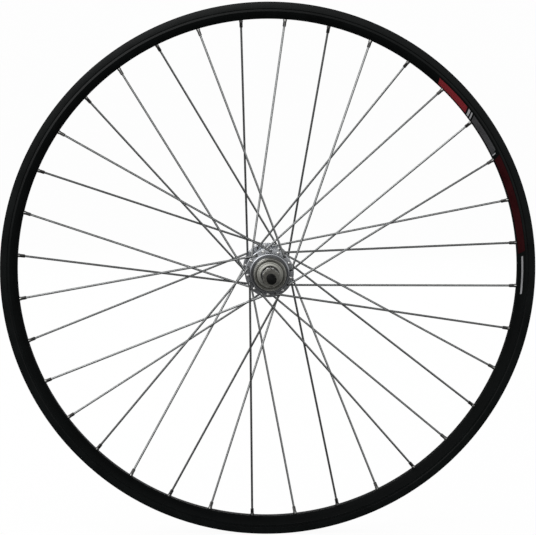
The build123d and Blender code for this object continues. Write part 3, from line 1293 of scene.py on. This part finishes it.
@dataclass
class Hub:
    """Turned hub shell, its freewheel thread and the dust caps."""

    sizes: Sizes
    lacing: Lacing
    repeats: Repeats
    segments: int = 144
    hole_sides: int = 20
    spoke_hole: float = 1.45
    shoulder_radius: float = 21.2
    shoulder_length: float = 3.2
    relief_length: float = 4.4
    thread: Thread = Thread(radius=17.4, depth=0.6, pitch=25.4 / 24)
    thread_lead: float = 0.3
    mouth_radius: float = 16.3
    mouth_depth: float = 1.5
    root_radius: float = 19.0
    waist_radius: float = 15.0
    neck_length: float = 7.0
    left_root_radius: float = 18.5
    left_end_radius: float = 17.0
    tunnel_radius: float = 11.0
    cap_gap: float = 0.45
    nose_margin: float = 0.2
    barrel_margin: float = 0.1
    shell_finish: Finish = Finish(
        "hub_alloy",
        dark=(0.5, 0.515, 0.54),
        light=(0.66, 0.68, 0.71),
        gloss=(0.16, 0.28),
        grain_size=0.3,
        bump=0.006,
        soil_size=6.0,
        # painted shade: darker below 19.5 mm on the shoulder's face beside the thread and on the shell's
        # ends, and at 21.7 mm where the shoulder meets the flange
        shade_bands=(
            (11.0, 0.4),
            (17.6, 0.25),
            (19.5, 0.35),
            (20.1, 1.0),
            (21.3, 1.0),
            (21.7, 0.5),
            (22.6, 0.85),
            (26.0, 1.0),
        ),
    )
    # the barrel keeps the shell's finish without its painted shade
    barrel_finish: Finish = replace(shell_finish, name="barrel_alloy", shade_bands=())
    thread_finish: Finish = Finish(
        "thread_alloy",
        dark=(0.4, 0.4, 0.37),
        light=(0.58, 0.58, 0.54),
        gloss=(0.34, 0.48),
        grain_size=0.2,
        bump=0.006,
        soil_size=4.0,
        # painted shade on the mouth of the nose, beside the dust cap
        shade_bands=((14.2, 0.4), (14.5, 0.45), (15.0, 1.0), (17.4, 1.0)),
    )
    cap_finish: Finish = Finish(
        "cap_steel",
        dark=(0.4, 0.4, 0.365),
        light=(0.54, 0.54, 0.495),
        gloss=(0.36, 0.48),
        grain_size=0.15,
        bump=0.004,
        soil_size=3.0,
        # painted shade round the cap's hole by the cone, in its groove at 12.5 mm and at its rim against the
        # cup
        shade_bands=(
            (9.1, 0.3),
            (9.8, 0.75),
            (10.3, 1.0),
            (12.0, 1.0),
            (12.5, 0.85),
            (13.0, 1.0),
            (13.9, 1.0),
            (14.2, 0.6),
        ),
    )

    @property
    def shoulder_end(self) -> float:
        """Distance of the shoulder's face from the middle plane of the rim."""
        return self.sizes.drive_flange + self.sizes.flange_thickness / 2 + self.shoulder_length

    def section(self) -> Section:
        """Section of the hub shell.

        Returns:
            Points of (radius, along).
        """
        sizes = self.sizes
        half = sizes.flange_thickness / 2
        flange = sizes.flange_radius
        drive_inner = half - sizes.drive_flange
        left_inner = sizes.left_flange - half
        left_face = sizes.left_flange + half
        cup = sizes.cup_radius
        return rounded(
            [
                Corner(cup, self.mouth_depth - sizes.drive_end, 0.2),
                Corner(self.mouth_radius, -sizes.drive_end, 0.1),
                Corner(self.thread.core, -sizes.drive_end, 0.3),
                Corner(self.thread.core, -self.shoulder_end, 0.3),
                Corner(self.shoulder_radius, -self.shoulder_end, 1.2),
                Corner(self.shoulder_radius, -sizes.drive_flange - half, 0.5),
                Corner(flange, -sizes.drive_flange - half, 0.9),
                Corner(flange, drive_inner, 0.9),
                Corner(self.root_radius, drive_inner, 1.6),
                Corner(self.waist_radius, drive_inner + self.neck_length, 6.0),
                Corner(self.waist_radius, left_inner - self.neck_length, 6.0),
                Corner(self.root_radius, left_inner, 1.6),
                Corner(flange, left_inner, 0.9),
                Corner(flange, left_face, 0.9),
                Corner(self.left_root_radius, left_face, 1.2),
                Corner(self.left_end_radius, sizes.left_end, 0.9),
                Corner(cup, sizes.left_end, 0.3),
                Corner(cup, sizes.left_end - sizes.cup_depth),
                Corner(self.tunnel_radius, sizes.left_end - sizes.cup_depth),
                Corner(self.tunnel_radius, sizes.cup_depth - sizes.drive_end),
                Corner(cup, sizes.cup_depth - sizes.drive_end),
            ]
        )

    def build(self) -> None:
        """Makes the shell, the thread and the caps."""
        self.build_shell()
        self.build_thread()
        self.build_caps()

    def build_shell(self) -> None:
        """Makes the drilled shell, with other finishes on its threaded nose and its barrel."""
        sizes = self.sizes
        half = sizes.flange_thickness / 2
        draft = Draft()
        draft.lathe(self.section(), self.segments)
        stock = draft.to_object("hub_stock", self.shell_finish)
        reach = 2 * sizes.flange_thickness
        pegs = [
            Peg(strand.head + strand.outward * half, strand.outward, strand.across, self.spoke_hole, reach)
            for strand in self.lacing.strands
        ]
        shell = self.repeats.drill.cut(stock, pegs, self.hole_sides, "hub_shell_dressed", self.shell_finish)
        nose = -(self.shoulder_end + self.nose_margin)
        barrel = half - sizes.drive_flange - self.barrel_margin
        paint(shell, self.thread_finish, lambda middle: middle.y < nose)
        paint(shell, self.barrel_finish, lambda middle: middle.y > barrel)
        settle(shell, Role(Body.WHEEL, Slot.HUB, ("hub_shell",)))

    def build_thread(self) -> None:
        """Makes the cut thread for the freewheel."""
        start = -self.shoulder_end - self.relief_length
        draft = Draft()
        draft.screw(self.thread, start, self.thread_lead - self.sizes.drive_end, self.segments)
        band = draft.to_object("freewheel_thread", self.thread_finish, edge=Edge.THREAD, outwards=True)
        settle(band, Role(Body.WHEEL, Slot.HUB))

    def build_caps(self) -> None:
        """Makes the pressed dust caps."""
        hole = self.sizes.cone_radius + self.cap_gap
        rim = self.sizes.cup_radius
        shape = [
            Corner(hole, 2.0, 0.1),
            Corner(hole, 0.75, 0.3),
            Corner(10.3, 0.45, 0.5),
            Corner(12.3, 0.95, 0.6),
            Corner(12.6, 0.8, 0.3),
            Corner(13.4, 0.9, 0.6),
            Corner(rim, 1.5, 0.3),
            Corner(rim, 2.0, 0.1),
        ]
        draft = Draft()
        for side in Side:
            draft.lathe(self.sizes.at_end(side, shape), self.segments)
        caps = draft.to_object("dust_caps_dressed", self.cap_finish)
        settle(caps, Role(Body.WHEEL, Slot.CAP, ("dust_caps",)))


@dataclass
class Bearings:
    """Cups, balls and cones at both ends of the hub."""

    sizes: Sizes
    repeats: Repeats
    segments: int = 96
    ball_count: int = 9
    ball_radius: float = 3.175
    ball_circle: float = 9.7
    ball_recess: float = 7.1
    ball_levels: int = 3
    race_gap: float = 0.02
    cup_recess: float = 3.5
    cup_wall: float = 1.3
    cone_nose: float = 6.0
    cone_chamfer: float = 0.4
    thread_bite: float = 0.1
    flat_half: float = 7.5
    flat_length: float = 3.5
    finish: Finish = Finish(
        "bearing_steel",
        dark=(0.4, 0.4, 0.4),
        light=(0.56, 0.56, 0.55),
        gloss=(0.12, 0.24),
        grain_size=0.15,
        bump=0.003,
        soil_size=3.0,
    )

    def race_sum(self, outside: bool) -> float:
        """Sum of radius and depth along the cup's or the cone's race, which leans at 45 degrees."""
        reach = (self.ball_radius + self.race_gap) * math.sqrt(2)
        return self.ball_circle + self.ball_recess + (reach if outside else -reach)

    def build(self) -> None:
        """Makes the cups, the cones and both rings of balls."""
        self.build_cups()
        self.build_cones()
        self.build_balls(Side.DRIVE, Body.DRIVE_BALLS, "drive_balls")
        self.build_balls(Side.LEFT, Body.LEFT_BALLS, "left_balls")

    def build_cups(self) -> None:
        """Makes the pressed cups."""
        sizes = self.sizes
        outer = sizes.cup_radius
        inner = outer - self.cup_wall
        race = self.race_sum(outside=True)
        shape = [
            Corner(outer, self.cup_recess, 0.2),
            Corner(outer, sizes.cup_depth, 0.4),
            Corner(race - sizes.cup_depth, sizes.cup_depth, 0.2),
            Corner(inner, race - inner, 0.3),
            Corner(inner, self.cup_recess, 0.3),
        ]
        draft = Draft()
        for side in Side:
            draft.lathe(sizes.at_end(side, shape), self.segments)
        cups = draft.to_object("bearing_cups_dressed", self.finish)
        settle(cups, Role(Body.WHEEL, Slot.BEARING, ("bearing_cups",)))

    def build_cones(self) -> None:
        """Makes the cones with their spanner flats."""
        sizes = self.sizes
        outer = sizes.cone_radius
        bore = sizes.axle_radius - self.thread_bite
        face = -sizes.cone_stand_out
        flat_end = self.flat_length - sizes.cone_stand_out
        race = self.race_sum(outside=False)
        shape = [
            Corner(bore, face),
            Corner(outer - self.cone_chamfer, face),
            Corner(outer, self.cone_chamfer - sizes.cone_stand_out),
            Corner(outer, flat_end),
            Corner(outer, flat_end),
            Corner(outer, race - outer, 0.4),
            Corner(self.cone_nose, race - self.cone_nose, 0.3),
            Corner(bore, race - self.cone_nose),
        ]
        draft = Draft()
        for side in Side:
            first = len(draft.points) + self.segments
            draft.lathe(sizes.at_end(side, shape), self.segments)
            # The rings from the chamfer to the first one at the flats' end are pressed flat above and below.
            for point in draft.points[first : first + 3 * self.segments]:
                point.z = max(-self.flat_half, min(self.flat_half, point.z))
        cones = draft.to_object("bearing_cones_dressed", self.finish, outwards=True)
        settle(cones, Role(Body.AXLE_SET, Slot.BEARING, ("bearing_cones",)))

    def build_balls(self, side: Side, body: Body, node: str) -> None:
        """Makes the balls of one bearing.

        Args:
            side: Side of the wheel.
            body: Body that carries them.
            node: Node that they replace.
        """
        work = bmesh.new()
        bmesh.ops.create_icosphere(work, subdivisions=self.ball_levels, radius=self.ball_radius * MM)
        mesh = bpy.data.meshes.new("ball_pattern")
        work.to_mesh(mesh)
        work.free()
        pattern = link(bpy.data.objects.new("ball_pattern", mesh))
        along = side.value * (self.sizes.hub_end(side) - self.ball_recess)
        pegs = [
            Peg(around(angle, self.ball_circle, along), around(angle, 1.0), AXLE)
            for angle in even_angles(self.ball_count)
        ]
        balls = self.repeats.scatter.copy(pattern, pegs, f"{node}_dressed", self.finish, Edge.THREAD)
        settle(balls, Role(body, Slot.BEARING, (node,)))


@dataclass
class AxleSet:
    """Axle and what is screwed up on it."""

    sizes: Sizes
    segments: int = 72
    thread_pitch: float = 1.0
    thread_depth: float = 0.3
    thread_reach: float = 46.0
    thread_lead: float = 0.3
    end_chamfer: float = 0.35
    end_chamfer_length: float = 0.4
    spacer_radius: float = 8.0
    washer_radius: float = 8.5
    washer_thickness: float = 1.5
    ring_gap: float = 0.05
    nut_thickness: float = 5.0
    nut_half: float = 8.5
    nut_turned_radius: float = 8.6
    nut_bevel: float = 0.6
    nut_land_end: float = 0.8
    thread_bite: float = 0.1
    axle_finish: Finish = Finish(
        "axle_black",
        dark=(0.002, 0.002, 0.002),
        light=(0.006, 0.006, 0.0058),
        gloss=(0.42, 0.6),
        metallic=0.0,
        specular=0.1,
        grain_size=0.3,
        bump=0.01,
        soil_size=4.0,
    )
    zinc_finish: Finish = Finish(
        "zinc_steel",
        dark=(0.2, 0.195, 0.175),
        light=(0.33, 0.325, 0.295),
        gloss=(0.24, 0.38),
        grain_size=0.2,
        bump=0.004,
        soil_size=4.0,
    )

    @property
    def nut_inner(self) -> float:
        """Distance of the locknuts' inner faces from the middle plane."""
        return self.sizes.locknut_face - self.nut_thickness

    def build(self) -> None:
        """Makes the axle, the rings on it and the locknuts."""
        self.build_axle()
        self.build_rings()
        self.build_locknuts()

    def build_axle(self) -> None:
        """Makes the axle with its threaded ends."""
        half = self.sizes.axle_half
        thread = Thread(self.sizes.axle_radius, self.thread_depth, self.thread_pitch)
        end = thread.core - self.end_chamfer
        straight = half - self.end_chamfer_length
        shape = ((end, -half), (thread.core, -straight), (thread.core, straight), (end, half))
        draft = Draft()
        draft.tube([hoop(radius, along, self.segments) for radius, along in shape], closed=False)
        for side in Side:
            start = side.value * (half - self.thread_reach)
            draft.screw(thread, start, side.value * (half - self.thread_lead), self.segments)
        axle = draft.to_object("axle_dressed", self.axle_finish, edge=Edge.THREAD, outwards=True)
        settle(axle, Role(Body.AXLE_SET, Slot.AXLE, ("axle",)))

    def ring(self, side: Side, outer: float, start: float, end: float, rounding: float) -> Section:
        """Section of a plain ring on the axle, with rounded outer edges.

        Args:
            side: Side of the wheel.
            outer: Outer radius.
            start: Distance of one face from the middle plane.
            end: Distance of the other face.
            rounding: Rounding of the outer edges.

        Returns:
            Points of (radius, along).
        """
        bore = self.sizes.axle_radius + self.ring_gap
        corners = [
            Corner(bore, side.value * start, 0.1),
            Corner(outer, side.value * start, rounding),
            Corner(outer, side.value * end, rounding),
            Corner(bore, side.value * end, 0.1),
        ]
        return rounded(corners, 3)

    def build_rings(self) -> None:
        """Makes the spacers and the lock washers."""
        sizes = self.sizes
        washer_inner = self.nut_inner - self.washer_thickness
        spacers = Draft()
        washers = Draft()
        for side in Side:
            start = sizes.hub_end(side) + sizes.cone_stand_out
            spacer = self.ring(side, self.spacer_radius, start, washer_inner, 0.4)
            washer = self.ring(side, self.washer_radius, washer_inner, self.nut_inner, 0.3)
            spacers.lathe(spacer, self.segments)
            washers.lathe(washer, self.segments)
        for draft, node in ((spacers, "axle_spacers"), (washers, "lock_washers")):
            rings = draft.to_object(f"{node}_dressed", self.zinc_finish)
            settle(rings, Role(Body.AXLE_SET, Slot.ZINC, (node,)))

    def hexagon(self, along: float, limit: float) -> list[Vector]:
        """Ring of a locknut.

        Args:
            along: Place along the axle.
            limit: Radius that the corners are turned down to.

        Returns:
            The points.
        """
        points = []
        for angle in even_angles(self.segments):
            lean = math.radians((angle + 30) % 60 - 30)
            points.append(around(angle, min(limit, self.nut_half / math.cos(lean)), along))
        return points

    def build_locknuts(self) -> None:
        """Makes the hexagon locknuts with turned corners."""
        inner, face = self.nut_inner, self.sizes.locknut_face
        corner = self.nut_half / math.cos(math.radians(30))
        bore = self.sizes.axle_radius - self.thread_bite
        rows = (
            (inner, self.nut_turned_radius),
            (inner + self.nut_bevel, corner),
            (inner + self.nut_land_end, corner),
            (face - self.nut_bevel, corner),
            (face, self.nut_turned_radius),
        )
        draft = Draft()
        for side in Side:
            rings = [self.hexagon(side.value * place, limit) for place, limit in rows]
            first, last = (hoop(bore, side.value * place, self.segments) for place in (inner, face))
            draft.tube([first, *rings, last], closed=True)
        nuts = draft.to_object("locknuts_dressed", self.zinc_finish, edge=Edge.HEXAGON, outwards=True)
        settle(nuts, Role(Body.AXLE_SET, Slot.ZINC, ("locknuts",)))


@dataclass(frozen=True)
class View:
    """Camera fitted to the photograph.

    Focal length and width are in pixels, the sensor is in millimetres, distance and shift are in metres, and
    angles are in radians.
    """

    focal: float = 2032.98
    width: float = 536.0
    sensor: float = 36.0
    distance: float = 2.17693
    shift: tuple[float, float] = (0.000593, -0.003255)
    tilt: float = 0.1182
    turn: float = 0.0414


@dataclass(frozen=True)
class Lamp:
    """Soft lamp that looks at the wheel. Its place and size are in metres, its power in watts."""

    name: str
    place: tuple[float, float, float]
    size: tuple[float, float]
    power: float


@dataclass
class Studio:
    """Floor, grey tent, lamps, backdrop and camera. Lengths are in metres.

    The tent's rings are (radius, height over the floor), and its levels are the brightness of each band
    between two rings, behind the wheel and in front of it.
    """

    sizes: Sizes
    view: View = View()
    floor_reach: float = 30.0
    floor_colour: tuple[float, ...] = (0.86, 0.86, 0.86, 1.0)
    floor_roughness: float = 0.9
    floor_glow: float = 0.95
    tent_sides: int = 48
    tent_rings: tuple[tuple[float, float], ...] = (
        (3.0, 0.001),
        (3.0, 0.25),
        (3.0, 1.9),
        (1.3, 3.2),
        (0.02, 3.3),
    )
    tent_floor: float = 0.09
    tent_levels: tuple[tuple[float, float], ...] = ((0.16, 0.16), (0.25, 0.65), (0.15, 0.22), (0.06, 0.06))
    lamps: tuple[Lamp, ...] = (
        Lamp("key_softbox", (-1.7, -1.9, 1.6), (1.2, 1.2), 11.0),
        Lamp("top_softbox", (-1.3, 0.7, 1.9), (1.6, 1.6), 18.0),
        Lamp("front_softbox", (-0.6, -2.5, 0.72), (1.6, 0.7), 8.0),
        Lamp("rear_softbox", (0.6, 2.5, 0.72), (1.6, 0.7), 8.0),
    )
    fill: float = 0.8
    backdrop: float = 0.987

    @property
    def floor_height(self) -> float:
        """Height of the floor that the wheel stands on."""
        return -self.sizes.lip_radius * MM

    def build(self) -> None:
        """Makes the studio."""
        self.build_floor()
        self.build_tent()
        self.build_lamps()
        self.build_world()
        self.build_camera()
        bpy.context.scene.view_settings.view_transform = "Standard"

    @staticmethod
    def stage_piece(
        name: str,
        corners: Sequence[tuple[float, float, float]],
        faces: Sequence[tuple[int, ...]],
        material: bpy.types.Material,
    ) -> Object:
        """Makes a piece of the studio.

        Args:
            name: Name of the piece.
            corners: Its corners.
            faces: Its faces by the numbers of their corners.
            material: Its material.

        Returns:
            The piece.
        """
        mesh = bpy.data.meshes.new(name)
        mesh.from_pydata(corners, [], faces)
        mesh.materials.append(material)
        obj = link(bpy.data.objects.new(name, mesh))
        return obj

    def build_floor(self) -> None:
        """Makes the pale floor, which keeps a faint shadow."""
        shader = Shader("studio_floor")
        shader.dress({"Base Color": self.floor_colour, "Roughness": self.floor_roughness})
        glow = shader.add("ShaderNodeEmission", {"Color": WHITE, "Strength": 1.0})
        share = shader.math("MULTIPLY", shader.seen(), self.floor_glow)
        inputs = {0: share, 1: shader.surface.outputs[0], 2: glow.outputs[0]}
        shader.show(shader.add("ShaderNodeMixShader", inputs).outputs[0])
        signs = ((-1, -1), (1, -1), (1, 1), (-1, 1))
        corners = [(x * self.floor_reach, y * self.floor_reach, self.floor_height) for x, y in signs]
        self.stage_piece("floor", corners, [(0, 1, 2, 3)], shader.material)

    def build_tent(self) -> None:
        """Makes the grey tent round the wheel, which only reflections see, so that metal shows its form."""
        count = self.tent_sides
        turns = [index * 2 * math.pi / count for index in range(count)]
        corners = [
            (radius * math.cos(turn), radius * math.sin(turn), self.floor_height + height)
            for radius, height in self.tent_rings
            for turn in turns
        ]
        pieces = [("tent_floor", [tuple(range(count))], self.tent_floor)]
        for band, (back, front) in enumerate(self.tent_levels):
            low = count * band
            high = low + count
            wall = []
            for index in range(count):
                after = (index + 1) % count
                wall.append((low + index, low + after, high + after, high + index))
            pieces.append((f"tent_back_{band}", wall[: count // 2], back))
            pieces.append((f"tent_front_{band}", wall[count // 2 :], front))
        for name, faces, level in pieces:
            shader = Shader(name)
            shader.show(shader.add("ShaderNodeEmission", {"Strength": level}).outputs[0])
            tent = self.stage_piece(name, corners, faces, shader.material)
            tent.visible_camera = False
            tent.visible_diffuse = False
            tent.visible_shadow = False

    def build_lamps(self) -> None:
        """Makes the soft lamps."""
        for lamp in self.lamps:
            data = bpy.data.lights.new(lamp.name, "AREA")
            data.shape = "RECTANGLE"
            data.size, data.size_y = lamp.size
            data.energy = lamp.power
            obj = link(bpy.data.objects.new(lamp.name, data))
            obj.location = lamp.place
            obj.rotation_euler = Vector(lamp.place).to_track_quat("Z", "Y").to_euler()
            obj.visible_camera = False

    def build_world(self) -> None:
        """Makes the even light round the studio and its white backdrop."""
        world = bpy.data.worlds.new("studio")
        bpy.context.scene.world = world
        world.use_nodes = True
        sky = Tree(world.node_tree)
        soft = world.node_tree.nodes["Background"]
        sky.feed(soft.inputs["Color"], WHITE)
        sky.feed(soft.inputs["Strength"], self.fill)
        white = sky.add("ShaderNodeBackground", {"Color": WHITE, "Strength": self.backdrop})
        mix = sky.add("ShaderNodeMixShader", {0: sky.seen(), 1: soft.outputs[0], 2: white.outputs[0]})
        sky.feed(world.node_tree.nodes["World Output"].inputs["Surface"], mix.outputs[0])

    def build_camera(self) -> None:
        """Makes the camera at the photograph's place."""
        view = self.view
        data = bpy.data.cameras.new("camera")
        data.sensor_width = view.sensor
        data.lens = view.focal / view.width * view.sensor
        data.clip_end = 4 * self.floor_reach
        camera = link(bpy.data.objects.new("camera", data))
        turned = Matrix.Rotation(view.turn, 3, "Y") @ Matrix.Rotation(view.tilt, 3, "X")
        upright = Matrix.Rotation(math.pi / 2, 3, "X")
        rotation = upright @ turned.transposed()
        place = rotation @ Vector((-view.shift[0], -view.shift[1], view.distance))
        camera.matrix_world = Matrix.Translation(place) @ rotation.to_4x4()
        bpy.context.scene.camera = camera


def main() -> None:
    """Dresses the wheel and builds the studio round it."""
    logging.basicConfig(level=logging.INFO)
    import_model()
    sizes = Sizes.read()
    Studio(sizes).build()
    repeats = Repeats(Scatter(), Drill(), Lace())
    lacing = Lacing(sizes)
    rim = Rim(sizes, lacing, repeats)
    rim.build()
    RimLabel(rim).build()
    Spokes(sizes, lacing, repeats).build()
    Hub(sizes, lacing, repeats).build()
    Bearings(sizes, repeats).build()
    AxleSet(sizes).build()


if __name__ == "__main__":
    main()
